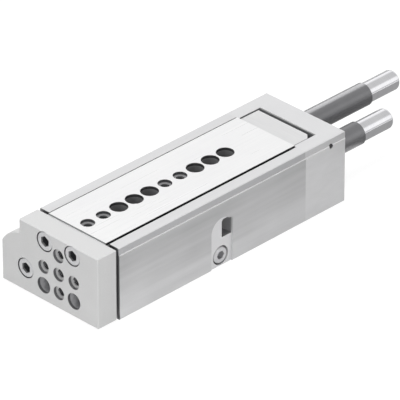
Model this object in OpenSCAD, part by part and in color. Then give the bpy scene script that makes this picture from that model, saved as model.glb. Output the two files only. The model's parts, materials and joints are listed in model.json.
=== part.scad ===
// Compact pneumatic slide table. A slide runs on two ball cages in a U-shaped housing, a
// cylinder in the housing's side drives it through a yoke plate, and two shock absorbers
// in adjustable sleeves stop it at both ends.
// X is the way the slide advances and Z is up. The origin lies on the mounting face, below
// the slide's centre line and at mid-length of the housing. The slide stands retracted.

/* [Stroke] */
// Travel of the slide from retracted to advanced
stroke = 40; // [30:1:42]
// Distance left between a sleeve and what it stops against
stop_gap = 0.3; // [0.2:0.05:0.5]

/* [Housing] */
// Length of the housing
housing_l = 123; // [118:1:140]
// Height of the housing above the mounting face
housing_h = 38.3; // [38:0.1:42]
// Slide's centre line to the plain flank
flank_y = 26.3; // [25.8:0.1:30]
// Slide's centre line to the step above the cylinder
step_y = 26; // [25.5:0.1:27]
// Slide's centre line to the cylinder's flank
side_y = 38.3; // [37:0.1:40]
// Radius of the shoulder around the cylinder
shoulder_r = 18.4; // [17.5:0.1:19]
// Height of the recessed band along the top of the plain flank
band_h = 3.75; // [2:0.25:4]
// Depth of that band
band_t = 0.5; // [0.3:0.1:0.8]
// Chamfer on the long outer edges
edge_c = 0.4; // [0.2:0.1:0.6]

/* [Slide] */
// Half width of the slide's top
slide_hw = 19.1; // [18.9:0.1:19.4]
// Height by which the slide's top stands above the housing
slide_proud = 0.5; // [0.3:0.1:0.8]
// Gap between the slide's underside and the channel's floor
floor_gap = 0.3; // [0.3:0.1:0.6]
// Gap between each side of the slide's top and the housing
side_gap = 0.8; // [0.6:0.1:1]
// Height of the slide's lip over the ball cages
lip_t = 3.2; // [2.5:0.1:3.6]
// Width of that lip beyond the slide's flanks
lip_w = 0.9; // [0.8:0.1:1.1]
// Pitch of the holes along the slide
pitch = 10; // [9.5:0.1:10.2]
// Yoke plate to the slide's first hole
first_hole = 7; // [6:0.5:9]
// Diameter of the access holes through the slide
access_d = 8.9; // [8.6:0.1:9.2]

/* [Guide] */
// Ball diameter
ball_d = 4; // [3.6:0.1:4.2]
// Pitch of the balls in their cage
ball_pitch = 6.5; // [6:0.25:9]
// Depth of the balls' centres below the slide's top
ball_depth = 6.8; // [6.4:0.1:7]
// Radial play of the balls in their tracks
ball_play = 0.05; // [0.02:0.01:0.08]
// Thickness of the ball cage
cage_t = 0.8; // [0.6:0.1:1]
// Height of the ball cage
cage_h = 5.2; // [5:0.1:5.6]
// Thickness of the steel rails
rail_t = 3.4; // [3:0.1:3.6]
// Height of the steel rails
rail_h = 8; // [7.4:0.1:8]
// Length left solid behind the rails
rail_tail = 9.5; // [9:0.5:14]

/* [Yoke plate] */
// Thickness of the yoke plate
yoke_t = 12; // [11:0.5:16]
// Gap between the yoke plate and the housing
yoke_gap = 1.5; // [1:0.1:3]
// Distance of the yoke plate's sides inside those of the housing
yoke_inset = 0.35; // [0.2:0.05:0.6]
// Height of the yoke plate's underside above the mounting face
yoke_lift = 0.6; // [0.4:0.1:1]
// Height of the middle hole of the yoke plate's pattern
grid_z = 19; // [18.5:0.1:19.5]
// Diameter of the plain holes in the yoke plate
plain_d = 8.4; // [8:0.1:8.6]
// Half distance between the two screws into the slide
yoke_screw_y = 9.1; // [8.8:0.1:9.5]
// Distance of those screws below the middle of the slide's thinner side
yoke_screw_drop = 0.3; // [0.1:0.05:0.4]

/* [Mounting holes] */
// Diameter of the counterbores for centring sleeves
sleeve_seat_d = 7; // [6.8:0.1:7.4]
// Depth of those counterbores
sleeve_seat_t = 1.6; // [1.2:0.1:2]
// Height of the heads' seat in the housing's through holes
mount_seat_z = 8; // [6:0.5:8.5]
// Diameter of the housing's through holes
mount_d = 5.5; // [5.3:0.1:6]
// Depth of the threads in the mounting face
base_thread_l = 9; // [8:0.5:10]

/* [Cylinder] */
// Slide's centre line to the cylinder's axis
cyl_y = 22.1; // [21.5:0.1:22.6]
// Height of the cylinder's axis
cyl_z = 13.1; // [12.6:0.1:13.4]
// Piston diameter
bore_d = 20; // [19:0.5:20.5]
// Piston rod diameter
rod_d = 10; // [9:0.5:11]
// Length of the piston
piston_l = 11; // [10:0.5:12]
// Length of the rod gland
gland_l = 18; // [16:0.5:20]
// Depth of the gland's outer face behind the housing's front
gland_depth = 2; // [1.8:0.1:3]
// Wall between the cylinder and the channel's floor
floor_wall = 2.2; // [1.8:0.1:2.4]
// Wall between the cylinder and the bay behind it
end_wall = 3.9; // [3:0.1:5]
// Radial play of the rod in its bush
rod_play = 0.03; // [0.01:0.01:0.08]

/* [Stops] */
// Outer diameter of the stop sleeves
sleeve_d = 11.8; // [11.4:0.1:12]
// Length of the stop sleeves
sleeve_l = 67.5; // [64:0.5:76]
// Diameter of the shock absorber bodies
absorber_d = 10.4; // [9.8:0.1:10.6]
// Length by which the absorber bodies stand out of their sleeves
absorber_out = 20.7; // [16:0.1:24]
// Travel of the absorber plungers
plunger_travel = 8; // [5:0.5:9]
// Diameter of the plunger heads
head_d = 7; // [6:0.1:7.2]
// Height of the absorbers' axes
absorber_z = 21.2; // [21:0.1:21.4]
// Slide's centre line to the absorber that stops the advance
advance_y = 11.2; // [11:0.1:11.4]
// Slide's centre line to the absorber that stops the return
retract_y = 12.2; // [11.8:0.1:12.4]
// Thickness of the stop plate
plate_t = 13; // [12:0.5:15]
// Half width of the stop plate
plate_hw = 17.7; // [17.5:0.1:17.9]
// Depth of the stop plate's top below the housing's
plate_sunk = 0.5; // [0.3:0.1:1]
// Chamfer of the stop plate's corner
plate_c = 3; // [2:0.5:4]
// Mid-length of the housing back to the pocket of the fixed stop
pocket_x = 5.3; // [4:0.1:8]
// Width of that pocket
pocket_w = 14; // [13:0.5:15]
// Height of the centre of the pocket's round top
pocket_z = 19.3; // [18.5:0.1:20]
// Depth of the pocket
pocket_t = 1; // [0.6:0.1:1.4]
// Width of the window in the pocket
window_w = 6.2; // [5:0.1:6.6]
// Height of that window
window_h = 9.6; // [8:0.1:10]
// Thickness of the fixed stop's face block
stop_t = 7; // [6:0.5:9]

/* [Rear cover] */
// Length of the rear cover
cover_l = 27.2; // [24:0.1:32]
// Free length behind the stop plate
cover_gap = 2; // [1.5:0.1:3]
// Side play of the stop plate in the cover and in the housing
bay_gap = 0.6; // [0.4:0.1:0.8]
// Radial play around the moving sleeve
sleeve_play = 0.4; // [0.3:0.05:0.5]

/* [Hidden] */
$fn = 64;
cut = 1;
edge_w = edge_c * sqrt(2);
air = 0.02;
wall_gap = 0.5;

// Lengths along X
front_x = housing_l / 2;
rear_x = -front_x;
yoke_x = front_x + yoke_gap;
yoke_front = yoke_x + yoke_t;
tail_gap = 0.1;
slide_x = rear_x + tail_gap;
plate_x = slide_x - plate_t;
cover_x = rear_x - cover_l;
pocket_wall_x = plate_x - cover_gap;
bay_x = slide_x + stroke + wall_gap;
stop_face_x = -pocket_x + wall_gap;
stop_front_x = stop_face_x + stop_t;
foot_x = -pocket_x - pocket_w / 2;
advance_x = stop_face_x - stop_gap - stroke;
retract_x = plate_x - stop_gap;

// Heights and half widths
slide_top = housing_h + slide_proud;
floor_z = cyl_z + bore_d / 2 + floor_wall;
slide_z = floor_z + floor_gap;
slide_t = slide_top - slide_z;
sleeve_low = absorber_z - sleeve_d / 2;
sleeve_high = absorber_z + sleeve_d / 2;
plate_z = sleeve_low - 0.9;
bay_z = plate_z - sleeve_play;
bay_hw = plate_hw + bay_gap;
channel_hw = slide_hw + side_gap;
flank_hw = slide_hw - lip_w;
ball_y = (flank_hw + channel_hw) / 2;
ball_z = slide_top - ball_depth;
rail_hw = channel_hw + rail_t;
notch_z = sleeve_high + wall_gap;
trough_y0 = advance_y - sleeve_d / 2 - sleeve_play;
trough_y1 = advance_y + sleeve_d / 2 + sleeve_play;
stop_y0 = trough_y0 + 0.2;
stop_y1 = trough_y1 - 0.2;
foot_z = bay_z - 2;
stop_screw_z = 5.5;
stop_screw_l = 12;
stop_screw_seat = flank_y - pocket_t - 5;
window_z = bay_z + 0.9;
window_r = 1.6;
slab_z = (notch_z + slide_top) / 2;
retract_lock_x = (pocket_wall_x + cover_x) / 2;

// Cylinder
bore_x = bay_x + end_wall;
piston_x = bore_x + 4.5;
gland_x1 = front_x - gland_depth;
gland_x0 = gland_x1 - gland_l;
spigot_d = 6;
nut_t = 3;
nut_d = hex_d(10);
bumper_t = 1.2;
// Grooves of the piston, from its rear face: start, width and depth
piston_grooves = [[1, 1.8, 1.8], [(piston_l - 3.6) / 2, 3.6, 2.4], [piston_l - 2.8, 1.8, 1.8]];
magnet_d = bore_d - 2.6;
port_d = thread_d(5);
port_x = [bore_x + 0.3 + port_d / 2, gland_x0 - 0.9];
gland_nose = 2.5;
bush_wall = 1.5;
seal_wall = 3;
seal_seat = 3;
seal_l = seal_seat - 0.2;
o_ring_d = 1.6;
o_ring_x = gland_x0 + 7.2;
ring_t = 1;
ring_out = 1.2;
// Sensor slot along the cylinder's flank
slot_d = 4;
slot_mouth = 2.6;
slot_in = 2.2;
slot_z = cyl_z + 6.2;

// Holes along the slide: true for a threaded hole with a sleeve seat, false for an access hole
slide_holes = [true, true, false, false, false, true, true, false, false, false];
slide_skin = 2.6;
mount_holes = [3, 8];
base_holes = [2, 9];
function hole_x(i) = yoke_x - first_hole - pitch * i;

// Fastener sizes by thread
function head_dia(m) = m == 3 ? 5.5 : m == 4 ? 7 : m == 5 ? 8.5 : 10;
function socket_af(m) = m == 3 ? 2.5 : m == 4 ? 3 : m == 5 ? 4 : 5;
function thread_d(m) = m == 3 ? 2.5 : m == 4 ? 3.3 : m == 5 ? 4.2 : 5;
function hex_d(af) = af / cos(30);
seat_play = 0.4;

head_c = 0.4;
dowel_d = 3;
dowel_play = 0.2;
thread_end = 2;

yoke_screw_z = slab_z - yoke_screw_drop;
yoke_screws = [[-yoke_screw_y, yoke_screw_z], [yoke_screw_y, yoke_screw_z]];
yoke_screw_l = 20;
rod_screw_l = 16;
yoke_seat_x = yoke_front - 6.3;
dowel_l = 10;
yoke_dowels = [[-14.3, slab_z - 2.2], [14.3, slab_z - 2.2]];
plate_seat_x = plate_x + 4.2;
plate_lock_x = plate_x + plate_t / 2;
plate_screw_l = 16;
plate_screws = [[-9, yoke_screw_z], [9, yoke_screw_z]];
plate_dowels = [[-3.5, slab_z], [3.5, slab_z]];
cover_seat_x = cover_x + 3.2;
cover_thread_l = 8;
cover_high = housing_h - 7.1;
cover_screw_y = flank_y - 4.1;
cover_screws = [[cover_screw_y, 6], [cover_screw_y, cover_high],
    [3.6 - step_y, cover_high], [4.7 - side_y, 5.6]];
cover_dowel_l = 12;
cover_dowels = [[cover_screw_y, cover_high - 12.7], [5.3 - side_y, cyl_z + 0.9]];
preload_pitch = 22;
preload_x = [for (i = [-2:2]) (rear_x + rail_tail + front_x) / 2 + preload_pitch * i];
preload_z = ball_z + 2;
// Small hole in the rear cover's flank
vent_d = 2.4;
vent_l = 3;
vent_x = rear_x - 17.3;
vent_z = housing_h - 4.1;

// Ball cages
cage_x = slide_x + stroke / 2 + 1.4;
cage_l = front_x - 1.5 - stroke / 2 - cage_x;
ball_count = floor((cage_l - ball_d - 2) / ball_pitch) + 1;
ball_x0 = cage_x + (cage_l - (ball_count - 1) * ball_pitch) / 2;

// Shock absorbers, measured back from the sleeve's front face
chamber_l = plunger_travel + 3;
head_l = 5;
rod_hole_l = 4;
tube_l = sleeve_l - chamber_l + absorber_out;
cavity_d = 7.4;
cavity_l = tube_l - rod_hole_l - 6;
plunger_d = 3;
piston_head_l = 3;
plunger_back = chamber_l + rod_hole_l + plunger_travel + piston_head_l + 1;
spring_wire = 0.8;
spring_turns = 11;

// A flat outline in Y and Z, run from x0 to x1
module run_x(x0, x1) translate([x0, 0, 0]) rotate([90, 0, 90]) linear_extrude(x1 - x0) children();

// A round bar or bore from x0 to x1 on the axis at y and z
module round_x(d, x0, x1, y = 0, z = 0) translate([x0, y, z]) rotate([0, 90, 0]) cylinder(d = d, h = x1 - x0);

// A box between two opposite corners
module block(low, high) translate(low) cube(high - low);

// Children at each [y, z] place
module at_yz(places) for (p = places) translate([0, p[0], p[1]]) children();

// A socket-head cap screw along Z: its head sits above z = 0 and its shank hangs below
module cap_screw(m, l) {
    difference() {
        union() {
            cylinder(d = head_dia(m), h = m - head_c);
            translate([0, 0, m - head_c])
                cylinder(d1 = head_dia(m), d2 = head_dia(m) - 2 * head_c, h = head_c);
            translate([0, 0, -l]) cylinder(d = thread_d(m) - 2 * air, h = l);
        }
        translate([0, 0, m * 0.45]) cylinder(d = hex_d(socket_af(m)), h = m, $fn = 6);
    }
}

// A cap screw whose head faces +X (way 1) or -X (way -1), with its seat at x
module cap_screw_x(m, l, x, way) translate([x, 0, 0]) rotate([0, 90 * way, 0]) cap_screw(m, l);

// The clearance hole and head counterbore for cap_screw_x
module screw_seat_x(m, l, x, way) {
    translate([x, 0, 0]) rotate([0, 90 * way, 0]) {
        translate([0, 0, -l - cut]) cylinder(d = m + seat_play, h = l + 2 * cut);
        cylinder(d = head_dia(m) + seat_play, h = cover_l + cut);
    }
}

// A dowel along X across the joint at x
module dowel_x(x) round_x(dowel_d - 2 * air, x - dowel_l / 2, x + dowel_l / 2);

// A set screw along Z, with its point at z = 0 and its socket on top
module set_screw(m, l) {
    difference() {
        cylinder(d = thread_d(m) - 2 * air, h = l);
        translate([0, 0, l * 0.5]) cylinder(d = hex_d(m / 2), h = l, $fn = 6);
    }
}

// A thread's core with a seat for a centring sleeve, cut down from z = 0
module sleeve_hole(m, l) {
    translate([0, 0, -sleeve_seat_t]) cylinder(d = sleeve_seat_d, h = sleeve_seat_t + cut);
    translate([0, 0, -l]) cylinder(d = thread_d(m), h = l + cut);
}

// Outline of the housing, its cover and the yoke plate, seen along X
module outline(inset = 0, base = 0, band = 0) {
    flank = flank_y - inset;
    side = side_y - inset;
    difference() {
        union() {
            translate([-step_y, base]) square([step_y + flank, housing_h - base]);
            translate([-side, base]) square([side, cyl_z - base]);
            intersection() {
                translate([-cyl_y, cyl_z]) circle(r = shoulder_r - inset);
                translate([-side, base]) square([side, housing_h]);
            }
        }
        if (band > 0) translate([flank - band, housing_h - band_h]) square([band + cut, band_h + cut]);
        for (p = [[flank - band, housing_h], [-step_y, housing_h], [flank, base], [-side, base]])
            translate(p) rotate(45) square(edge_c * sqrt(2), center = true);
    }
}

// Height of the shoulder's arc at a distance y from the slide's centre line
function shoulder_z(r, y) = cyl_z + sqrt(r * r - pow(y - cyl_y, 2));

// Chamfer around one end of that outline: way is 1 at a face toward +X and -1 toward -X
module end_chamfer(x, way, inset = 0, base = 0) {
    flank = flank_y - inset;
    side = side_y - inset;
    r = shoulder_r - inset;
    top_z = housing_h + cut;
    for (z = [base, housing_h]) translate([x, (flank_y - side_y) / 2, z]) rotate([0, 45, 0])
        cube([edge_w, side_y + flank_y + cut, edge_w], center = true);
    // Upright edges: place in Y, lower end, upper end
    for (e = [[flank, base - cut, top_z], [-side, base - cut, shoulder_z(r, side) + edge_c],
              [-step_y, shoulder_z(r, step_y), top_z]])
        translate([x, e[0], (e[1] + e[2]) / 2]) rotate(45) cube([edge_w, edge_w, e[2] - e[1]], center = true);
    // The shoulder's edge
    difference() {
        block([min(x - way * edge_c, x + way * cut), -side - cut, cyl_z],
              [max(x - way * edge_c, x + way * cut), -step_y, top_z]);
        translate([x - way * 2 * edge_c, -cyl_y, cyl_z]) rotate([0, 90 * way, 0])
            cylinder(r1 = r + edge_c, r2 = r - 2 * edge_c, h = 3 * edge_c);
    }
}

// Outline of the channel that the slide runs in
module channel_outline() translate([-channel_hw, floor_z]) square([2 * channel_hw, housing_h]);

// The bay that the stop plate travels in
module bay(x0, x1) block([x0, -bay_hw, bay_z], [x1, bay_hw, housing_h + cut]);

// A rectangle with round top corners, its foot on the x axis
module arched(w, h, r) {
    square([w, h - r]);
    translate([r, 0]) square([w - 2 * r, h]);
    for (x = [r, w - r]) translate([x, h - r]) circle(r = r);
}

// The pocket in the plain flank, the window in it and the seat of the fixed stop's screw
module stop_access() {
    floor_y = flank_y - pocket_t;
    translate([-pocket_x, flank_y + cut, 0]) rotate([90, 0, 0]) linear_extrude(pocket_t + cut) {
        translate([0, pocket_z]) circle(d = pocket_w);
        translate([-pocket_w / 2, -cut]) square([pocket_w, pocket_z + cut]);
    }
    translate([foot_x, floor_y + cut, window_z]) rotate([90, 0, 0])
        linear_extrude(floor_y - trough_y1 + 2 * cut) arched(window_w, window_h, window_r);
    translate([-pocket_x, stop_screw_seat, stop_screw_z]) rotate([-90, 0, 0]) {
        cylinder(d = head_dia(5) + 1.5, h = 10);
        translate([0, 0, -8]) cylinder(d = 5 + seat_play, h = 9);
    }
}

module housing() color("#c8c9ca") {
    difference() {
        run_x(rear_x, front_x) outline(band = band_t);
        run_x(rear_x - cut, front_x + cut) channel_outline();
        // Pockets for the steel rails, open at the front
        block([rear_x + rail_tail, -rail_hw - air, ball_z - rail_h / 2 - air],
              [front_x + cut, rail_hw + air, ball_z + rail_h / 2 + air]);
        bay(rear_x - cut, bay_x);
        // Trough for the moving sleeve and the fixed stop, with the stop's foot below
        block([bay_x - cut, trough_y0, bay_z], [stop_front_x + air, trough_y1, floor_z + cut]);
        block([stop_face_x - air, trough_y0, foot_z - cut], [stop_front_x + air, trough_y1, bay_z + cut]);
        block([foot_x - air, trough_y0, -cut], [stop_front_x + air, trough_y1, foot_z]);
        stop_access();
        // Cylinder, its gland's snap ring groove and the two air ports
        round_x(bore_d, bore_x, front_x + cut, -cyl_y, cyl_z);
        round_x(bore_d + ring_out + 0.2, gland_x1 + air, gland_x1 + ring_t + 0.1, -cyl_y, cyl_z);
        for (x = port_x) translate([x, -side_y - cut, cyl_z]) rotate([-90, 0, 0])
            cylinder(d = port_d, h = side_y - cyl_y + cut);
        round_x(slot_d, rear_x - cut, front_x + cut, -side_y + slot_in, slot_z);
        block([rear_x - cut, -side_y - cut, slot_z - slot_mouth / 2],
              [front_x + cut, -side_y + slot_in, slot_z + slot_mouth / 2]);
        // Through holes under the slide's access holes, and threads in the mounting face
        for (i = mount_holes) translate([hole_x(i), 0, 0]) {
            translate([0, 0, -cut]) cylinder(d = mount_d, h = mount_seat_z + 2 * cut);
            translate([0, 0, mount_seat_z]) cylinder(d = access_d, h = housing_h);
        }
        for (i = base_holes) translate([hole_x(i), 0, 0]) mirror([0, 0, 1]) sleeve_hole(5, base_thread_l);
        for (x = preload_x) translate([x, -step_y - cut, preload_z]) rotate([-90, 0, 0])
            cylinder(d = thread_d(3), h = step_y - rail_hw + 2 * cut);
        at_yz(cover_screws) round_x(thread_d(3), rear_x - cut, rear_x + cover_thread_l);
        at_yz(cover_dowels) round_x(dowel_d, rear_x - cut, rear_x + cover_dowel_l / 2 + dowel_play);
    }
}

module rear_cover() color("#cfd0d1") {
    difference() {
        run_x(cover_x, rear_x) outline(band = band_t);
        end_chamfer(cover_x, -1);
        bay(pocket_wall_x, rear_x + cut);
        round_x(sleeve_d + 2 * air, cover_x - cut, rear_x, -retract_y, absorber_z);
        round_x(sleeve_d + 2 * sleeve_play + 0.4, cover_x - cut, rear_x, advance_y, absorber_z);
        at_yz(cover_screws) screw_seat_x(3, cover_l, cover_seat_x, -1);
        at_yz(cover_dowels) round_x(dowel_d, rear_x - cover_dowel_l / 2 - dowel_play, rear_x + cut);
        // Lock screw of the fixed sleeve, driven from below
        translate([retract_lock_x, -retract_y, -cut]) cylinder(d = thread_d(4), h = absorber_z);
        translate([vent_x, flank_y + cut, vent_z]) rotate([90, 0, 0]) cylinder(d = vent_d, h = vent_l + cut);
    }
}

module cover_screws() color("#4a4b4d") {
    at_yz(cover_screws) cap_screw_x(3, rear_x - cover_seat_x + cover_thread_l - 0.5, cover_seat_x, -1);
}

module cover_dowels() color("silver") {
    at_yz(cover_dowels) round_x(dowel_d - 2 * air, rear_x - cover_dowel_l / 2, rear_x + cover_dowel_l / 2);
}

// One steel rail with its ball track, on the side that way points to
module guide_rail(way) scale([1, way, 1]) {
    difference() {
        block([rear_x + rail_tail + air, channel_hw, ball_z - rail_h / 2],
              [front_x - 0.1, rail_hw, ball_z + rail_h / 2]);
        round_x(ball_d + 2 * ball_play, rear_x, front_x + cut, ball_y, ball_z);
    }
}
module guide_rail_left() color("#8f9294") guide_rail(-1);
module guide_rail_right() color("#8f9294") guide_rail(1);

module preload_screws() color("#4a4b4d") {
    for (x = preload_x) translate([x, -rail_hw - air, preload_z]) rotate([90, 0, 0])
        set_screw(3, step_y - rail_hw - 0.2);
}

// The gland holds the bush, the rod seal and the wiper, and is held in the bore by its snap ring
module rod_gland() color("#b9a778") {
    at_rod() difference() {
        union() {
            round_x(bore_d - 2 * air, gland_x0 + gland_nose, gland_x1);
            round_x(bore_d - 2, gland_x0, gland_x1);
        }
        round_x(rod_d + 2 * bush_wall, gland_x0 - cut, gland_x1 + cut);
        round_x(rod_d + 2 * seal_wall, gland_x0 - cut, gland_x0 + seal_seat);
        round_x(rod_d + 2 * seal_wall, gland_x1 - seal_seat, gland_x1 + cut);
        ring_x(bore_d - 2 * o_ring_d - 0.1, bore_d + cut, o_ring_x - 1.2, o_ring_x + 1.2);
    }
}

// Children on the cylinder's axis
module at_rod() translate([0, -cyl_y, cyl_z]) children();

// A ring or sleeve around the X axis
module ring_x(d_in, d_out, x0, x1) {
    difference() {
        round_x(d_out, x0, x1);
        round_x(d_in, x0 - cut, x1 + cut);
    }
}

module rod_bush() color("#a8874a") {
    at_rod() ring_x(rod_d + 2 * rod_play, rod_d + 2 * (bush_wall - air),
                    gland_x0 + seal_seat, gland_x1 - seal_seat);
}

// A lip seal: a ring with a groove between its two lips
module lip_seal(x0, way) {
    difference() {
        ring_x(rod_d + 2 * rod_play, rod_d + 2 * (seal_wall - air), x0, x0 + seal_l);
        ring_x(rod_d + 0.7 * seal_wall, rod_d + 1.3 * seal_wall,
               way > 0 ? x0 + seal_l / 2 : x0 - cut, way > 0 ? x0 + seal_l + cut : x0 + seal_l / 2);
    }
}
module rod_seal() color("#2b2b2c") at_rod() lip_seal(gland_x0 + 0.1, -1);
module rod_wiper() color("#2b2b2c") at_rod() lip_seal(gland_x1 - 0.1 - seal_l, 1);

// An O-ring of the given cord in a groove around the X axis
module o_ring(d_out, cord, x) {
    translate([x, 0, 0]) rotate([0, 90, 0])
        rotate_extrude() translate([(d_out - cord) / 2, 0]) circle(d = cord, $fn = 32);
}
module gland_o_ring() color("#232324") at_rod() o_ring(bore_d - 2 * air, o_ring_d, o_ring_x);

module gland_retaining_ring() color("#5b5d60") {
    at_rod() difference() {
        ring_x(bore_d - 2.6, bore_d + ring_out, gland_x1 + 0.05, gland_x1 + 0.05 + ring_t);
        // The gap between the ring's ends
        block([gland_x1 - cut, -2.5, 0], [gland_x1 + 2, 2.5, bore_d]);
    }
}

// The block that stops the advance: its foot is screwed to the flank from outside
module fixed_stop() color("#6f7377") {
    difference() {
        union() {
            block([foot_x, stop_y0, 0.6], [stop_front_x, stop_y1, foot_z - air]);
            block([stop_face_x, stop_y0, foot_z - 1], [stop_front_x, stop_y1, sleeve_high]);
        }
        translate([-pocket_x, stop_y1 + cut, stop_screw_z]) rotate([90, 0, 0])
            cylinder(d = thread_d(5), h = stop_y1 - stop_y0);
    }
}
module fixed_stop_screw() color("#9a9c9e") {
    translate([-pocket_x, stop_screw_seat, stop_screw_z]) rotate([-90, 0, 0]) cap_screw(5, stop_screw_l);
}

// A threaded stop sleeve: its open front face is the hard stop around the plunger's head
module stop_sleeve(x, y) translate([x, y, absorber_z]) {
    difference() {
        round_x(sleeve_d, -sleeve_l, 0);
        round_x(head_d + 0.6, -chamber_l, cut);
        round_x(absorber_d + 2 * air, -sleeve_l - cut, -chamber_l);
    }
}

// The absorber's tube, closed by a rounded end, with its rod hole at the front
module absorber_tube(x, y) translate([x - chamber_l, y, absorber_z]) {
    round_r = 1.6;
    difference() {
        rotate([0, -90, 0]) rotate_extrude() difference() {
            union() {
                square([absorber_d / 2 - round_r, tube_l]);
                square([absorber_d / 2, tube_l - round_r]);
                translate([absorber_d / 2 - round_r, tube_l - round_r]) circle(r = round_r);
            }
            translate([-cut, -cut]) square([plunger_d / 2 + rod_play + cut, rod_hole_l + 2 * cut]);
            translate([-cut, rod_hole_l]) square([cavity_d / 2 + cut, cavity_l]);
        }
        // Hex socket that sets the damping
        translate([-tube_l + 2.2, 0, 0]) rotate([0, -90, 0]) cylinder(d = hex_d(4), h = 4, $fn = 6);
    }
}

// The plunger with its head and damping piston, standing out of the sleeve by out
module absorber_plunger(x, y, out) translate([x + out, y, absorber_z]) {
    round_x(head_d, -head_l, 0);
    round_x(plunger_d, -plunger_back, -head_l + cut);
    round_x(cavity_d - 2 * rod_play - 0.1, -plunger_back, -plunger_back + piston_head_l);
}

// A coil spring along X, swept as one closed skin
module coil(x0, x1, coil_r, wire_r, turns, steps = 10, sides = 6) {
    rings = turns * steps;
    run = x1 - x0 - 2 * wire_r;
    points = [for (i = [0:rings]) let (a = 360 * i / steps, x = x0 + wire_r + run * i / rings)
        for (j = [0:sides - 1]) let (b = 360 * j / sides, r = coil_r + wire_r * cos(b))
            [x + wire_r * sin(b), r * cos(a), r * sin(a)]];
    skin = [for (i = [0:rings - 1]) for (j = [0:sides - 1]) let (k = (j + 1) % sides)
        [i * sides + j, (i + 1) * sides + j, (i + 1) * sides + k, i * sides + k]];
    ends = [[for (j = [0:sides - 1]) j], [for (j = [sides - 1:-1:0]) rings * sides + j]];
    polyhedron(points, concat(skin, ends), convexity = 10);
}

// The return spring between the damping piston and the closed end of the tube
module return_spring(x, y, out) translate([x, y, absorber_z]) {
    tube_end = -chamber_l - rod_hole_l - cavity_l;
    coil(tube_end + 0.1, out - plunger_back - 0.1, cavity_d / 2 - spring_wire, spring_wire / 2, spring_turns);
}

// A point set screw that holds a sleeve from below
module lock_screw(x, y) {
    translate([x, y, sleeve_low - 0.05]) rotate([180, 0, 0]) set_screw(4, 6);
}

module retract_stop_sleeve() color("#6f7174") stop_sleeve(retract_x, -retract_y);
module retract_absorber_tube() color("#d9dadd") absorber_tube(retract_x, -retract_y);
module retract_plunger() color("#b5b8bb") absorber_plunger(retract_x, -retract_y, 0);
module retract_spring() color("#8d9092") return_spring(retract_x, -retract_y, 0);
module retract_lock_screw() color("#4a4b4d") lock_screw(retract_lock_x, -retract_y);
module advance_stop_sleeve() color("#6f7174") stop_sleeve(advance_x, advance_y);
module advance_absorber_tube() color("#d9dadd") absorber_tube(advance_x, advance_y);
module advance_plunger() color("#b5b8bb") absorber_plunger(advance_x, advance_y, plunger_travel);
module advance_spring() color("#8d9092") return_spring(advance_x, advance_y, plunger_travel);

// Ball track along one flank of the slide
module ball_track(way) translate([0, way * ball_y, 0])
    round_x(ball_d + 2 * ball_play, slide_x - cut, yoke_x + cut, 0, ball_z);

module slide() color("#e9eaeb") {
    difference() {
        run_x(slide_x, yoke_x) difference() {
            translate([-slide_hw, slide_z]) square([2 * slide_hw, slide_t]);
            // Flanks set back below the lips, and the notch over the moving sleeve
            for (way = [-1, 1]) translate([way > 0 ? flank_hw : -flank_hw - cut - lip_w, slide_z - cut])
                square([lip_w + cut, slide_t - lip_t + cut]);
            translate([trough_y0 - wall_gap, slide_z - cut]) square([slide_hw, notch_z - slide_z + cut]);
            for (way = [-1, 1]) translate([way * slide_hw, slide_top]) rotate(45)
                square(edge_c, center = true);
        }
        for (way = [-1, 1]) ball_track(way);
        for (i = [0:len(slide_holes) - 1]) translate([hole_x(i), 0, slide_top])
            if (slide_holes[i]) sleeve_hole(5, slide_t - slide_skin);
            else translate([0, 0, -slide_t - cut]) cylinder(d = access_d, h = slide_t + 2 * cut);
        at_yz(yoke_screws) round_x(thread_d(6), yoke_seat_x - yoke_screw_l - thread_end, yoke_x + cut);
        at_yz(yoke_dowels) round_x(dowel_d, yoke_x - dowel_l / 2 - dowel_play, yoke_x + cut);
        at_yz(plate_screws) round_x(thread_d(4), slide_x - cut, plate_seat_x + plate_screw_l + thread_end);
        at_yz(plate_dowels) round_x(dowel_d, slide_x - cut, slide_x + dowel_l / 2 + dowel_play);
    }
}

module yoke_plate() color("#d2d3d4") {
    difference() {
        run_x(yoke_x, yoke_front) outline(inset = yoke_inset, base = yoke_lift);
        end_chamfer(yoke_front, 1, inset = yoke_inset, base = yoke_lift);
        end_chamfer(yoke_x, -1, inset = yoke_inset, base = yoke_lift);
        at_yz(yoke_screws) screw_seat_x(6, yoke_t, yoke_seat_x, 1);
        at_rod() screw_seat_x(6, yoke_t, yoke_seat_x, 1);
        // A cross of threaded holes with sleeve seats, and two plain holes
        for (p = [[0, 0], [-1, 0], [1, 0], [0, -1], [0, 1]])
            translate([yoke_front, p[0] * pitch, grid_z + p[1] * pitch]) rotate([0, 90, 0])
                sleeve_hole(5, yoke_t + cut);
        for (way = [-1, 1]) round_x(plain_d, yoke_x - cut, yoke_front + cut, way * pitch, grid_z - pitch);
        at_yz(yoke_dowels) round_x(dowel_d, yoke_x - cut, yoke_x + dowel_l / 2 + dowel_play);
    }
}

module yoke_screws() color("#9a9c9e") at_yz(yoke_screws) cap_screw_x(6, yoke_screw_l, yoke_seat_x, 1);
module yoke_dowels() color("silver") at_yz(yoke_dowels) dowel_x(yoke_x);
module rod_screw() color("#9a9c9e") at_rod() cap_screw_x(6, rod_screw_l, yoke_seat_x, 1);

module piston_rod() color("#d4d6d8") {
    at_rod() difference() {
        union() {
            round_x(rod_d, piston_x + piston_l, yoke_x);
            round_x(spigot_d, piston_x + 0.1, piston_x + piston_l);
        }
        round_x(thread_d(6), yoke_seat_x - rod_screw_l - thread_end, yoke_x + cut);
    }
}

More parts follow.
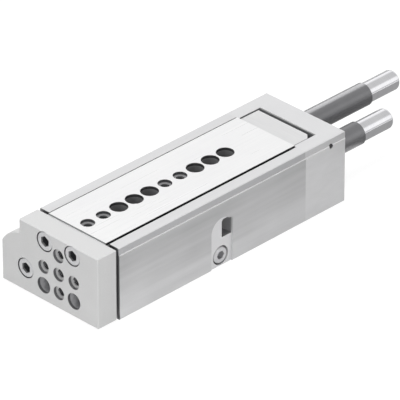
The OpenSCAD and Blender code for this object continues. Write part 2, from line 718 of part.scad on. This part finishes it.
module piston() color("#a9adb0") {
    at_rod() difference() {
        round_x(bore_d - 0.3, piston_x, piston_x + piston_l);
        round_x(spigot_d + 2 * air, piston_x - cut, piston_x + piston_l + cut);
        round_x(nut_d + 0.4, piston_x - cut, piston_x + nut_t + 0.1);
        for (g = piston_grooves)
            ring_x(bore_d - 2 * g[2], bore_d + cut, piston_x + g[0], piston_x + g[0] + g[1]);
    }
}

// The floor diameter of one of the piston's grooves, with air around it
function groove_d(i) = bore_d - 2 * piston_grooves[i][2] + 2 * air;

// A ring that fills a groove of the piston between two diameters
module groove_ring(i, d_in, d_out) {
    g = piston_grooves[i];
    at_rod() ring_x(d_in, d_out, piston_x + g[0] + 0.05, piston_x + g[0] + g[1] - 0.05);
}
module piston_seals() color("#2b2b2c") {
    for (i = [0, 2]) groove_ring(i, groove_d(i), bore_d - 2 * air);
}
module piston_magnet() color("#3a3a3c") groove_ring(1, groove_d(1), magnet_d);
module piston_wear_ring() color("#7b5a34") groove_ring(1, magnet_d + 2 * air, bore_d - 2 * air);

module piston_bumpers() color("#2b2b2c") {
    for (x = [piston_x - bumper_t, piston_x + piston_l])
        at_rod() ring_x(nut_d + 1, bore_d - 2, x, x + bumper_t);
}

module piston_nut() color("#9a9c9e") {
    at_rod() difference() {
        translate([piston_x + 0.1, 0, 0]) rotate([0, 90, 0]) cylinder(d = nut_d, h = nut_t, $fn = 6);
        round_x(spigot_d + 2 * air, piston_x - cut, piston_x + nut_t + cut);
    }
}

module stop_plate() color("#dcdddd") {
    difference() {
        block([plate_x, -plate_hw, plate_z], [slide_x, plate_hw, housing_h - plate_sunk]);
        round_x(sleeve_d + 2 * air, plate_x - cut, slide_x + cut, advance_y, absorber_z);
        translate([plate_x, plate_hw, housing_h / 2]) rotate(45)
            cube([plate_c * sqrt(2), plate_c * sqrt(2), housing_h], center = true);
        at_yz(plate_screws) screw_seat_x(4, plate_t, plate_seat_x, -1);
        at_yz(plate_dowels) round_x(dowel_d, slide_x - dowel_l / 2 - dowel_play, slide_x + cut);
        // Cross hole of the sleeve's lock screw
        translate([plate_lock_x, -plate_hw - cut, absorber_z]) rotate([-90, 0, 0])
            cylinder(d = thread_d(4), h = plate_hw + advance_y);
    }
}
module stop_plate_screws() color("#4a4b4d") {
    at_yz(plate_screws) cap_screw_x(4, plate_screw_l, plate_seat_x, -1);
}
module stop_plate_dowels() color("silver") at_yz(plate_dowels) dowel_x(slide_x);
module advance_lock_screw() color("#4a4b4d") {
    translate([plate_lock_x, advance_y - sleeve_d / 2 - 0.05, absorber_z]) rotate([90, 0, 0]) set_screw(4, 6);
}

// Children at each ball of one side
module at_balls(way) {
    for (i = [0:ball_count - 1]) translate([ball_x0 + i * ball_pitch, way * ball_y, ball_z]) children();
}

// The cage of one side: a flat strip with a round pocket for each ball
module ball_cage(way) {
    difference() {
        block([cage_x, way * ball_y - cage_t / 2, ball_z - cage_h / 2],
              [cage_x + cage_l, way * ball_y + cage_t / 2, ball_z + cage_h / 2]);
        at_balls(way) rotate([90, 0, 0]) cylinder(d = ball_d + 0.3, h = 2 * cage_t, center = true);
    }
}
module ball_cage_left() color("#b99a54") ball_cage(-1);
module ball_cage_right() color("#b99a54") ball_cage(1);
module balls_left() color("#c9ccd0") at_balls(-1) sphere(d = ball_d);
module balls_right() color("#c9ccd0") at_balls(1) sphere(d = ball_d);

housing();
rear_cover();
cover_screws();
cover_dowels();
guide_rail_left();
guide_rail_right();
preload_screws();
rod_gland();
rod_bush();
rod_seal();
rod_wiper();
gland_o_ring();
gland_retaining_ring();
fixed_stop();
fixed_stop_screw();
retract_stop_sleeve();
retract_absorber_tube();
retract_lock_screw();
retract_spring();
retract_plunger();
slide();
yoke_plate();
yoke_screws();
yoke_dowels();
rod_screw();
piston_rod();
piston();
piston_seals();
piston_magnet();
piston_wear_ring();
piston_bumpers();
piston_nut();
stop_plate();
stop_plate_screws();
stop_plate_dowels();
advance_stop_sleeve();
advance_absorber_tube();
advance_lock_screw();
advance_spring();
advance_plunger();
ball_cage_left();
ball_cage_right();
balls_left();
balls_right();
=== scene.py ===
import json
import math

import bmesh
import bpy
from mathutils import Matrix, Vector


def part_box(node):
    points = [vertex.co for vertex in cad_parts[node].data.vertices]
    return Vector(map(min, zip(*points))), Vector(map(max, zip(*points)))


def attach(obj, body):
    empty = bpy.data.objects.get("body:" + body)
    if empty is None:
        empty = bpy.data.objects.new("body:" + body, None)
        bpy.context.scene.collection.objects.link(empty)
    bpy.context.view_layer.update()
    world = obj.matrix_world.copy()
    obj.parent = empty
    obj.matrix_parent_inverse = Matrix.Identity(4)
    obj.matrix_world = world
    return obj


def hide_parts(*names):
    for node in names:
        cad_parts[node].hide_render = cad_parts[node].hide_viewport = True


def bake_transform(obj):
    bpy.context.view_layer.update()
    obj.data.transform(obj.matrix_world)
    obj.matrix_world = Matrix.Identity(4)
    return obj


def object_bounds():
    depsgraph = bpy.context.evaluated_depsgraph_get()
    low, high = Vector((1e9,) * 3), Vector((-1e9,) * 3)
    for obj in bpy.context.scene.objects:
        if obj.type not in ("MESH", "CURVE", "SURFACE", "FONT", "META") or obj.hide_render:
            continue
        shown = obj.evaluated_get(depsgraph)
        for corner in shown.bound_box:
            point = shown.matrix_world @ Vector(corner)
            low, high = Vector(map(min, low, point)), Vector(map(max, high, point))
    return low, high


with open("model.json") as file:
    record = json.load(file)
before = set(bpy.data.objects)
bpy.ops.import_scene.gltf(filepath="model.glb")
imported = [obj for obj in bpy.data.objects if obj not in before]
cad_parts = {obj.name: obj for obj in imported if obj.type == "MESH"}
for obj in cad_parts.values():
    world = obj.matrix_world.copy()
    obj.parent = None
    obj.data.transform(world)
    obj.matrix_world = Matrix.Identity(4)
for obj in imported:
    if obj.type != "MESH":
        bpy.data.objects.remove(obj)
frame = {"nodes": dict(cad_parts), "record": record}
cadLow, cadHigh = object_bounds()
nodes = frame["nodes"]
mm = 0.001
print("frame loaded:", len(nodes), "nodes")


def linear(hexColour):
    parts = [int(hexColour[i:i + 2], 16) / 255 for i in (0, 2, 4)]
    return tuple(c / 12.92 if c <= 0.04045 else ((c + 0.055) / 1.055) ** 2.4 for c in parts) + (1.0,)


def addNode(tree, kind, inputs=None, **settings):
    node = tree.nodes.new("ShaderNode" + kind)
    for name, value in settings.items():
        setattr(node, name, value)
    for name, value in (inputs or {}).items():
        if isinstance(value, bpy.types.NodeSocket):
            tree.links.new(value, node.inputs[name])
        else:
            node.inputs[name].default_value = value
    return node


# Camera: a long lens, well back, level with the horizon
camera = {
    "aim": (-18.1, -0.9, 19.0),  # mm, near the middle of the body
    "azimuth": 44.86,  # degrees from +X toward +Y
    "elevation": 31.02,
    "roll": -0.07,
    "distance": 2530.1,  # mm
    "lens": 484.3,  # mm
    "sensor": 36,  # mm
    "clip": (0.05, 50),  # m
}


def addCamera(look):
    data = bpy.data.cameras.new("camera")
    data.lens, data.sensor_width = look["lens"], look["sensor"]
    data.clip_start, data.clip_end = look["clip"]
    viewer = bpy.data.objects.new("camera", data)
    bpy.context.scene.collection.objects.link(viewer)
    around, up = math.radians(look["azimuth"]), math.radians(look["elevation"])
    back = Vector((math.cos(around) * math.cos(up), math.sin(around) * math.cos(up), math.sin(up)))
    viewer.location = Vector(look["aim"]) * mm + back * look["distance"] * mm
    roll = Matrix.Rotation(math.radians(look["roll"]), 3, "Z")
    viewer.rotation_euler = ((-back).to_track_quat("-Z", "Y").to_matrix() @ roll).to_euler()
    bpy.context.scene.camera = viewer


addCamera(camera)
print("camera placed")

# Studio: white sweep, a broad lamp overhead and weaker ones around. Camera and reflections see it
# white, and what it throws on the object is set apart from that
studio = {
    "floorSize": 12.0,  # m
    "floorDrop": 0.0001,  # m under the object
    "cardLift": 0.0003,  # m over the object's underside
    "floorTone": "aeaeae",  # what the floor throws back on the object
    "floorGlow": 0.93,  # white of the floor as seen
    "floorLit": 0.14,  # and the share that is lit and holds the shadow
    "ambient": 0.36,  # light of the surroundings on the object
}
# Place and size in m, power in W. All aim at the origin, and polished metal shows only those that shine
lamps = [
    {"name": "overheadLamp", "place": (0.15, 0.0, 1.25), "size": 0.8, "power": 12.0},
    {"name": "frontLamp", "place": (1.3, -0.1, 0.55), "size": 0.7, "power": 4.4},
    {"name": "sideLamp", "place": (-0.2, 1.3, 0.4), "size": 0.7, "power": 1.15},
    {"name": "nearLamp", "place": (0.34, 0.42, 0.03), "size": 0.2, "power": 1.5},
    {"name": "backLamp", "place": (-0.96, -1.09, 0.74), "size": 0.8, "power": 1.5},
    {"name": "sleeveLamp", "place": (-0.97, -1.02, 0.77), "size": 1.25, "power": 7.5, "shine": True,
     "only": ("retract_stop_sleeve",)},  # pale band along the far sleeve
]
# Dark strips of the studio that only reflections show, in degrees around the X axis from +Y
strips = [
    {"middle": 88, "half": 50, "dark": 0.42},
    {"middle": -10, "half": 28, "dark": 0.5},
    {"middle": 184, "half": 30, "dark": 0.6},
]
# Grey cards on the floor beside the bright tubes, which only reflections show, corners in m
cards = [
    {"name": "greyCard", "low": (-0.34, -0.03), "high": (-0.125, 0.32), "tone": 0.34},
    {"name": "darkCard", "low": (-0.34, -0.34), "high": (-0.125, -0.03), "tone": 0.25},
]
white = (1, 1, 1, 1)


# One for the rays that see the studio as white, none for those that light the object
def seenRays(tree):
    path = addNode(tree, "LightPath")
    either = addNode(tree, "Math", {0: path.outputs["Is Camera Ray"], 1: path.outputs["Is Glossy Ray"]},
                     operation="MAXIMUM")
    return addNode(tree, "Math", {0: either.outputs[0], 1: path.outputs["Is Transmission Ray"]},
                   operation="MAXIMUM").outputs[0]


def addFloor(look):
    bpy.ops.mesh.primitive_plane_add(size=look["floorSize"])
    floor = bpy.context.object
    floor.name = "studioFloor"
    floor.location.z = cadLow.z - look["floorDrop"]
    material = bpy.data.materials.new("paperSweep")
    material.use_nodes = True
    tree = material.node_tree
    tree.nodes.clear()
    bounce = addNode(tree, "BsdfDiffuse", {"Color": linear(look["floorTone"])})
    lit = addNode(tree, "BsdfDiffuse", {"Color": (look["floorLit"],) * 3 + (1,)})
    glow = addNode(tree, "Emission", {"Color": white, "Strength": look["floorGlow"]})
    seen = addNode(tree, "AddShader", {0: glow.outputs[0], 1: lit.outputs[0]})
    mixed = addNode(tree, "MixShader", {0: seenRays(tree), 1: bounce.outputs[0], 2: seen.outputs[0]})
    addNode(tree, "OutputMaterial", {"Surface": mixed.outputs[0]})
    floor.data.materials.append(material)


def addCard(look):
    (lowX, lowY), (highX, highY) = look["low"], look["high"]
    bpy.ops.mesh.primitive_plane_add(size=1)
    card = bpy.context.object
    card.name = look["name"]
    card.location = ((lowX + highX) / 2, (lowY + highY) / 2, cadLow.z + studio["cardLift"])
    card.scale = (highX - lowX, highY - lowY, 1)
    material = bpy.data.materials.new(look["name"])
    material.use_nodes = True
    tree = material.node_tree
    tree.nodes.clear()
    tone = addNode(tree, "Emission", {"Color": white, "Strength": look["tone"]})
    addNode(tree, "OutputMaterial", {"Surface": tone.outputs[0]})
    card.data.materials.append(material)
    card.visible_camera = card.visible_diffuse = False
    card.visible_shadow = card.visible_transmission = False


def addWorld(look):
    world = bpy.data.worlds.new("studioWorld")
    bpy.context.scene.world = world
    world.use_nodes = True
    tree = world.node_tree
    tree.nodes.clear()
    ray = addNode(tree, "SeparateXYZ", {0: addNode(tree, "TexCoord").outputs["Generated"]})
    turn = addNode(tree, "Math", {0: ray.outputs["Z"], 1: ray.outputs["Y"]}, operation="ARCTAN2").outputs[0]
    shine = 1.0
    for strip in strips:
        away = addNode(tree, "Math", {0: turn, 1: math.radians(strip["middle"])}, operation="SUBTRACT")
        away = addNode(tree, "Math", {0: away.outputs[0]}, operation="ABSOLUTE")
        half = math.radians(strip["half"])
        dimmed = addNode(tree, "MapRange", {
            "Value": away.outputs[0], "From Min": half / 2, "From Max": half,
            "To Min": 1 - strip["dark"], "To Max": 1.0}, interpolation_type="SMOOTHSTEP")
        shine = addNode(tree, "Math", {0: shine, 1: dimmed.outputs[0]}, operation="MULTIPLY").outputs[0]
    glossy = addNode(tree, "LightPath").outputs["Is Glossy Ray"]
    bright = addNode(tree, "Mix", {0: glossy, "A": 1.0, "B": shine}, data_type="FLOAT")
    level = addNode(tree, "Mix", {0: seenRays(tree), "A": look["ambient"], "B": bright.outputs[0]},
                    data_type="FLOAT")
    back = addNode(tree, "Background", {"Color": white, "Strength": level.outputs[0]})
    tree.links.new(back.outputs[0], addNode(tree, "OutputWorld").inputs[0])


def addLamp(look):
    data = bpy.data.lights.new(look["name"], "AREA")
    data.shape, data.size, data.energy = "DISK", look["size"], look["power"]
    lamp = bpy.data.objects.new(look["name"], data)
    bpy.context.scene.collection.objects.link(lamp)
    lamp.location = look["place"]
    lamp.visible_glossy = "shine" in look
    if "only" in look:
        group = bpy.data.collections.new(look["name"])
        for name in look["only"]:
            group.objects.link(nodes[name])
        lamp.light_linking.receiver_collection = group
    lamp.rotation_euler = (-Vector(look["place"])).to_track_quat("-Z", "Y").to_euler()


addFloor(studio)
for card in cards:
    addCard(card)
addWorld(studio)
for lamp in lamps:
    addLamp(lamp)
bpy.context.scene.view_settings.view_transform = "Standard"
print("studio set")

# Finishes by slot: two tones, grain size along X, Y and Z in mm, cloud size in mm, bump depth in mm.
# Some have a lighter tone painted on faces that look up as painted light from above, a wider spread
# between the tones, or painted shade that runs from one tone to the other between two heights in mm
finishes = {
    # Extruded aluminium, drawn and clear anodised: satin grey with faint bands along the body, and painted
    # shade that darkens the flanks towards the top
    "housing_aluminium": dict(name="drawnAnodisedAluminium", colour="d0d0d1", mark="a9a9aa", top="d5d5d6",
                              metallic=0.3, roughness=0.42, grain=(90, 4, 4), cloud=34, spread=0.75,
                              heightShade=(0, 34, 0.66), bump=0.001),
    # Milled aluminium, clear anodised: paler, smoother and more even
    "cover_aluminium": dict(name="milledAnodisedAluminium", colour="d0d0d1", mark="cbcbcc", top="d8d8d9",
                            metallic=0.3, roughness=0.42, grain=(9, 9, 3), cloud=22, bump=0.0004),
    # Milled aluminium, fine blasted and anodised: even and silky
    "yoke_aluminium": dict(name="blastedAnodisedAluminium", colour="cbcbcb", mark="c3c3c3", top="d5d5d5",
                           metallic=0.3, roughness=0.46, grain=(0.5, 0.5, 0.5), cloud=18, bump=0.004),
    # Hardened steel, ground bright: nearly white with the faintest lines along the travel
    "slide_steel": dict(name="groundBrightSteel", colour="ececec", mark="e6e6e7", metallic=0.4,
                        roughness=0.32, grain=(60, 0.5, 0.5), cloud=50, bump=0.0002),
    # Ground steel, matt nickel plated: pale and even
    "plate_steel": dict(name="mattNickelSteel", colour="dcdcdc", mark="d7d7d8", metallic=0.4,
                        roughness=0.38, grain=(0.6, 20, 0.6), cloud=14, bump=0.001),
    # Hardened plain steel: darker, with grinding marks
    "stop_steel": dict(name="hardenedSteel", colour="83858a", mark="74767a", metallic=0.8,
                       roughness=0.4, grain=(8, 8, 0.5), cloud=10, bump=0.004),
    # Black-oxide steel: near black with a dull oily shine
    "black_steel": dict(name="blackOxideSteel", colour="35363a", mark="2a2b2e", metallic=0.7,
                        roughness=0.42, grain=(0.4, 0.4, 0.4), cloud=4, bump=0.004),
    # Zinc-plated steel: light grey, slightly mottled
    "screw_steel": dict(name="zincPlatedSteel", colour="c7c7c8", mark="b7b7b9", metallic=0.7,
                        roughness=0.34, grain=(0.8, 0.8, 0.8), cloud=3, bump=0.004),
    # Ground steel pins: clean mid grey
    "dowel_steel": dict(name="groundPinSteel", colour="c2c4c6", mark="b4b6b8", metallic=0.9,
                        roughness=0.25, grain=(0.3, 30, 30), cloud=5, bump=0.002),
    # Freshly cut thread: painted dark as the shade inside the tapped holes, with small glints
    "cut_thread": dict(name="cutThreadPaintedShade", colour="4a4a4c", mark="38383a", metallic=0.8,
                       roughness=0.28, grain=(0.5, 0.5, 0.5), cloud=3, bump=0.004),
    # Hardened rail steel, ground along its length
    "rail_steel": dict(name="groundRailSteel", colour="b3b5b8", mark="a2a4a7", metallic=0.9,
                       roughness=0.28, grain=(30, 0.3, 0.3), cloud=12, bump=0.002),
    # Bearing steel balls: polished
    "ball_steel": dict(name="polishedBearingSteel", colour="dcdee0", mark="d0d2d4", metallic=1.0,
                       roughness=0.08, grain=(1, 1, 1), cloud=3, bump=0.0005),
    # Stamped brass cage: warm, slightly dull
    "cage_brass": dict(name="stampedBrass", colour="c9ac62", mark="b99a52", metallic=0.9,
                       roughness=0.32, grain=(6, 0.4, 0.4), cloud=6, bump=0.003),
    # Turned aluminium gland, anodised: rings around the axis
    "gland_aluminium": dict(name="turnedAnodisedAluminium", colour="b9babb", mark="a9aaab", metallic=0.5,
                            roughness=0.36, grain=(0.3, 30, 30), cloud=8, bump=0.004),
    # Sintered bronze bush: brown gold, fine pores
    "bush_bronze": dict(name="sinteredBronze", colour="b08a52", mark="94703e", metallic=0.8,
                        roughness=0.45, grain=(0.3, 0.3, 0.3), cloud=3, bump=0.008),
    # Moulded nitrile rubber: matt black
    "seal_rubber": dict(name="mouldedNitrileRubber", colour="232324", mark="1b1b1c", metallic=0.0,
                        roughness=0.6, grain=(0.4, 0.4, 0.4), cloud=4, bump=0.006),
    # Oiled spring steel: dark grey with a shine
    "spring_steel": dict(name="oiledSpringSteel", colour="8d9093", mark="7b7e81", metallic=0.95,
                         roughness=0.25, grain=(0.5, 0.5, 0.5), cloud=3, bump=0.002),
    # Phosphated steel sleeve, turned: dark grey and even, with a soft shine
    "sleeve_steel": dict(name="phosphatedSteel", colour="7e7e80", mark="7a7a7c", metallic=0.45,
                         roughness=0.25, grain=(8, 40, 40), cloud=9, bump=0.0001),
    # Bright nickel-plated tube: mirror-like with soft streaks
    "absorber_chrome": dict(name="brightNickelPlate", colour="fafafc", mark="f2f2f6", metallic=1.0,
                            roughness=0.12, grain=(0.4, 40, 40), cloud=8, bump=0.0003),
    # Hardened plunger, ground
    "plunger_steel": dict(name="groundPlungerSteel", colour="bcbfc2", mark="acafb2", metallic=0.9,
                          roughness=0.24, grain=(0.3, 30, 30), cloud=4, bump=0.002),
    # Hard chrome piston rod: mirror-like
    "rod_chrome": dict(name="hardChromeSteel", colour="dfe1e3", mark="d6d8da", metallic=1.0,
                       roughness=0.1, grain=(0.4, 40, 40), cloud=10, bump=0.0006),
    # Turned aluminium piston
    "piston_aluminium": dict(name="turnedAluminium", colour="c0c2c4", mark="b0b2b4", metallic=0.8,
                             roughness=0.34, grain=(0.3, 30, 30), cloud=6, bump=0.004),
    # Plastic-bonded ferrite ring: dull charcoal with a fine grain
    "magnet_plastic": dict(name="bondedFerrite", colour="3c3c3f", mark="303033", metallic=0.0,
                           roughness=0.55, grain=(0.3, 0.3, 0.3), cloud=3, bump=0.005),
    # Filled guide ring: brown plastic
    "wear_plastic": dict(name="filledGuideRing", colour="7a5c38", mark="6a4e2e", metallic=0.0,
                         roughness=0.5, grain=(0.4, 0.4, 0.4), cloud=3, bump=0.004),
}

# How every finish uses its values
surface = {
    "spread": 0.3,  # between the two tones, for a finish that names none
    "grainRange": (0.3, 0.7),  # of the noise that moves the roughness
    "roughSwing": 0.15,  # share of the roughness
    "litUpward": (0.1, 0.75),  # normal's Z where the painted light on upward faces starts and where it is full
    "openness": (0.9, 0.4),  # occlusion where a nearby piece starts to count and where it is full
    "zoneEdge": 0.04,  # mm
}

# Places with a tone painted on, by node, most of them painted shade or painted highlights: two corners of a
# box in mm, the tone inside it, and for a tone that shows only while another piece is near, how near in mm
zones = {
    "housing": [
        ((-63, -19.95, 14), (63, 19.95, 38.1), "4a4b4d"),  # channel that the slide runs in, painted dark as shade
        ((-12.4, 24, -1), (1.8, 26.2, 27), "d6d6d7"),  # milled pocket in the flank
        ((-12.6, 14, 14), (-6, 25.2, 25), "9c9c9e"),  # window, painted darker as the shade inside it
        ((-63, 25, 34.75), (63, 25.95, 37.9), "aeaeb0"),  # recessed band
        ((-63, 25.7, 34.3), (63, 27, 34.62), "e8e8e9"),  # painted highlight: bright line where the ledge under the band catches the light
        ((61.2, 24.4, -1), (61.8, 27, 39), "444446", 4),  # shadow in the gap behind the yoke plate
        ((61.2, -39, 36.6), (61.8, 24.4, 39), "444446", 4),
    ],
    "rear_cover": [
        ((-88, -18.6, 14), (-61, 18.6, 38.1), "8e8f91"),  # cavity around the stop plate, painted dark as the shade in its gap
        ((-77, -18.3, 37.6), (-76.3, 18.3, 38.27), "dedede"),  # painted highlight: pale strip at its rear edge that makes the gap look narrower
        ((-89, 25, 34.75), (-61, 25.95, 37.9), "c4c4c5"),
        # Painted highlight: bright line where the ledge under the band catches the light
        ((-89, 25.7, 34.3), (-61, 27, 34.62), "e8e8e9"),
        ((-80.7, 23, 32.9), (-77.9, 25.7, 35.5), "707072"),  # small hole in the flank, painted dark as the shade inside it
        ((-80.7, 23, 32.9), (-77.9, 26.2, 34.45), "707072"),
    ],
    "slide": [
        ((-61.2, -4.9, 37.26), (62.9, 4.9, 38.72), "505052"),  # sleeve seats, painted dark as the shade inside them
        ((-61.2, -4.9, 37.16), (62.9, 4.9, 37.25), "acacae"),  # their floors, painted a mid tone as shade
        ((-61.2, -4.9, 10), (62.9, 4.9, 37.15), "a2a2a4"),  # bores, painted darker as shade
        ((62.7, -19.2, 38.35), (63.1, 19.2, 38.85), "77787a"),  # painted shade in the seam against the yoke plate
        ((-62, 18.86, 37.6), (64, 20, 38.9), "161618"),  # painted shade: a dark line along the near edge and a paler one far, where the gap beside the slide is shaded
        ((-62, -20, 37.6), (64, -19.02, 38.74), "77777a"),
    ],
    "stop_plate": [((-74.4, 17.3, 37.7), (-61.6, 17.8, 37.9), "848486")],  # painted shade in the seam against the cover
    "yoke_plate": [
        ((73.46, -20.5, 1.5), (74.92, 25, 37), "6c6c6e"),  # sleeve seats, painted dark as the shade inside them
        ((63.1, -20.5, 1.5), (73.35, 25, 37), "c4c4c6"),  # bores, painted darker as shade
        ((63.1, -29, 6), (74.92, -15, 20), "505052"),  # counterbore of the rod's screw, painted dark as the shade inside it
    ],
    "yoke_screws": [((40, -40, 0), (73.6, 40, 40), "606164")],  # painted shade on the sides and sockets behind the faces, inside the counterbores
    # Painted shade on the sides and socket behind the face
    "rod_screw": [((40, -40, 0), (73.6, 40, 40), "606164")],
    "fixed_stop_screw": [((-30, 0, -5), (30, 24.6, 40), "bcbcbe")],
}


def inZone(tree, place, low, high):
    middle = [(a + b) / 2 * mm for a, b in zip(low, high)]
    half = [(b - a) / 2 * mm for a, b in zip(low, high)]
    away = addNode(tree, "VectorMath", {0: place, 1: middle}, operation="SUBTRACT").outputs[0]
    away = addNode(tree, "VectorMath", {0: away}, operation="ABSOLUTE").outputs[0]
    away = addNode(tree, "VectorMath", {0: away, 1: half}, operation="SUBTRACT").outputs[0]
    axes = addNode(tree, "SeparateXYZ", {0: away}).outputs
    worst = addNode(tree, "Math", {0: axes[0], 1: axes[1]}, operation="MAXIMUM").outputs[0]
    worst = addNode(tree, "Math", {0: worst, 1: axes[2]}, operation="MAXIMUM").outputs[0]
    edge = surface["zoneEdge"] * mm
    return addNode(tree, "MapRange", {"Value": worst, "From Min": edge, "From Max": 0.0}).outputs[0]


def mixTone(tree, share, base, colour):
    inputs = {0: share, "A": base, "B": linear(colour)}
    return addNode(tree, "Mix", inputs, data_type="RGBA").outputs["Result"]


def makeFinish(look, places=()):
    material = bpy.data.materials.new(look["name"])
    material.use_nodes = True
    tree = material.node_tree
    tree.nodes.clear()
    place = addNode(tree, "TexCoord").outputs["Object"]
    stretch = [1 / (size * mm) for size in look["grain"]]
    stretched = addNode(tree, "Mapping", {"Vector": place, "Scale": stretch}).outputs[0]
    grain = addNode(tree, "TexNoise", {"Vector": stretched, "Scale": 1.0, "Detail": 3.0}).outputs[0]
    scale = 1 / (look["cloud"] * mm)
    cloud = addNode(tree, "TexNoise", {"Vector": place, "Scale": scale, "Detail": 2.0}).outputs[0]
    both = addNode(tree, "Math", {0: grain, 1: cloud}, operation="ADD").outputs[0]
    # Painted shade: the tone darkens with height, lighter low on the flanks and darker near the top
    if "heightShade" in look:
        height = addNode(tree, "SeparateXYZ", {0: place}).outputs["Z"]
        low, high, swing = look["heightShade"]
        heightShade = addNode(tree, "MapRange", {"Value": height, "From Min": low * mm, "From Max": high * mm,
                                           "To Min": -swing, "To Max": swing}).outputs[0]
        both = addNode(tree, "Math", {0: both, 1: heightShade}, operation="ADD").outputs[0]
    spread = look.get("spread", surface["spread"])
    share = addNode(tree, "MapRange", {"Value": both, "From Min": 1 - spread, "From Max": 1 + spread})
    tone = mixTone(tree, share.outputs[0], linear(look["colour"]), look["mark"])
    # Painted light: faces that look up get a lighter tone, as if lit from above
    if "top" in look:
        normal = addNode(tree, "TexCoord").outputs["Normal"]
        facing = addNode(tree, "SeparateXYZ", {0: normal}).outputs["Z"]
        start, full = surface["litUpward"]
        up = addNode(tree, "MapRange", {"Value": facing, "From Min": start, "From Max": full}).outputs[0]
        tone = mixTone(tree, up, tone, look["top"])
    for low, high, colour, *reach in places:
        within = inZone(tree, place, low, high)
        if reach:
            free = addNode(tree, "AmbientOcclusion", {"Distance": reach[0] * mm}, samples=8).outputs["AO"]
            start, full = surface["openness"]
            close = addNode(tree, "MapRange", {"Value": free, "From Min": start, "From Max": full})
            within = addNode(tree, "Math", {0: within, 1: close.outputs[0]},
                             operation="MULTIPLY").outputs[0]
        tone = mixTone(tree, within, tone, colour)
    low, high = surface["grainRange"]
    swing = look["roughness"] * surface["roughSwing"]
    rough = addNode(tree, "MapRange", {
        "Value": grain, "From Min": low, "From Max": high,
        "To Min": look["roughness"] - swing, "To Max": look["roughness"] + swing})
    bump = addNode(tree, "Bump", {"Height": grain, "Strength": 1.0, "Distance": look["bump"] * mm})
    shader = addNode(tree, "BsdfPrincipled", {
        "Base Color": tone, "Metallic": look["metallic"],
        "Roughness": rough.outputs[0], "Normal": bump.outputs[0]})
    addNode(tree, "OutputMaterial", {"Surface": shader.outputs[0]})
    return material


materials = {slot: makeFinish(look) for slot, look in finishes.items()}
for part in frame["record"]["subparts"]:
    name, slot = part["node"], part["material_slot"]
    slots = nodes[name].data.materials
    slots.clear()
    slots.append(makeFinish(finishes[slot], zones[name]) if name in zones else materials[slot])
print("finishes made:", len(bpy.data.materials))

# Threads: a ridge wound inside each tapped hole
threads = {
    "core": 2.1,  # mm, radius of an M5 thread's core
    "pitch": 0.8,
    "height": 0.24,
    "width": 0.84,  # share of the pitch
    "sink": 0.03,  # mm into the hole's wall
    "steps": 28,  # per turn
}


def addThread(name, start, direction, length, body):
    look = threads
    turns = length / look["pitch"]
    count = int(turns * look["steps"])
    half = look["pitch"] * look["width"] / 2
    root, crest = look["core"] + look["sink"], look["core"] - look["height"]
    profile = [(root, -half), (crest, 0), (root, half)]
    build = bmesh.new()
    rings = []
    for i in range(count + 1):
        angle = math.tau * i / look["steps"]
        along = half + (length - 2 * half) * i / count
        across, up = math.cos(angle) * mm, math.sin(angle) * mm
        rings.append([build.verts.new((r * across, r * up, (along + a) * mm)) for r, a in profile])
    corners = len(profile)
    for low, high in zip(rings, rings[1:]):
        for j in range(corners):
            k = (j + 1) % corners
            build.faces.new((low[j], low[k], high[k], high[j]))
    build.faces.new(reversed(rings[0]))
    build.faces.new(rings[-1])
    bmesh.ops.recalc_face_normals(build, faces=build.faces)
    aim = Vector(direction).to_track_quat("Z", "Y").to_matrix().to_4x4()
    build.transform(Matrix.Translation(start) @ aim)
    mesh = bpy.data.meshes.new(name)
    build.to_mesh(mesh)
    build.free()
    mesh.materials.append(materials["cut_thread"])
    ridge = bpy.data.objects.new(name, mesh)
    bpy.context.scene.collection.objects.link(ridge)
    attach(ridge, body)


# Return springs, each with the tube and the plunger it sits between: a copy of the spring's mesh stands in
# for the part
springs = [
    {"name": "retractSpring", "node": "retract_spring",
     "tube": "base", "plunger": "retract_plunger_body"},
    {"name": "advanceSpring", "node": "advance_spring",
     "tube": "carriage", "plunger": "advance_plunger_body"},
]


def addSpring(look):
    coil = bpy.data.objects.new(look["name"], nodes[look["node"]].data.copy())
    bpy.context.scene.collection.objects.link(coil)
    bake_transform(coil)
    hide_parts(look["node"])


for spring in springs:
    addSpring(spring)
print("springs placed")

# Tapped holes, in mm
holes = {
    "firstFromYoke": 7,
    "pitch": 10,
    "seat": 1.6,  # depth of the sleeve seat before the thread
    "slideTapped": (0, 1, 5, 6),  # places in the row that are tapped
    "slideDepth": 10.2,
    "yokeHeight": 19,  # of the middle of the yoke plate's cross
    "yokeCross": ((0, 0), (-1, 0), (1, 0), (0, -1), (0, 1)),  # in pitches across and up
    "baseTapped": (2, 9),
    "baseDepth": 8.8,
    "portHeight": 13.1,
    "portAlong": (-14.6, 40.6),
    "portDepth": 5.6,
}


def tapHoles(plan):
    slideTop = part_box("slide")[1].z
    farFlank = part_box("housing")[0].y
    yokeBack, yokeFront = (corner.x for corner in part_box("yoke_plate"))
    seat, pitch = plan["seat"], plan["pitch"]
    firstX = yokeBack - plan["firstFromYoke"] * mm
    for i in plan["slideTapped"]:
        addThread("slideThread%d" % i, (firstX - i * pitch * mm, 0, slideTop - seat * mm),
                  (0, 0, -1), plan["slideDepth"] - seat, "carriage")
    for i, (across, up) in enumerate(plan["yokeCross"]):
        start = (yokeFront - seat * mm, across * pitch * mm, (plan["yokeHeight"] + up * pitch) * mm)
        addThread("yokeThread%d" % i, start, (-1, 0, 0), (yokeFront - yokeBack) / mm - seat,
                  "carriage")
    for i in plan["baseTapped"]:
        addThread("baseThread%d" % i, (firstX - i * pitch * mm, 0, seat * mm),
                  (0, 0, 1), plan["baseDepth"] - seat, "base")
    for i, along in enumerate(plan["portAlong"]):
        addThread("portThread%d" % i, (along * mm, farFlank, plan["portHeight"] * mm),
                  (0, 1, 0), plan["portDepth"], "base")


tapHoles(holes)
print("threads cut")

bpy.context.view_layer.update()
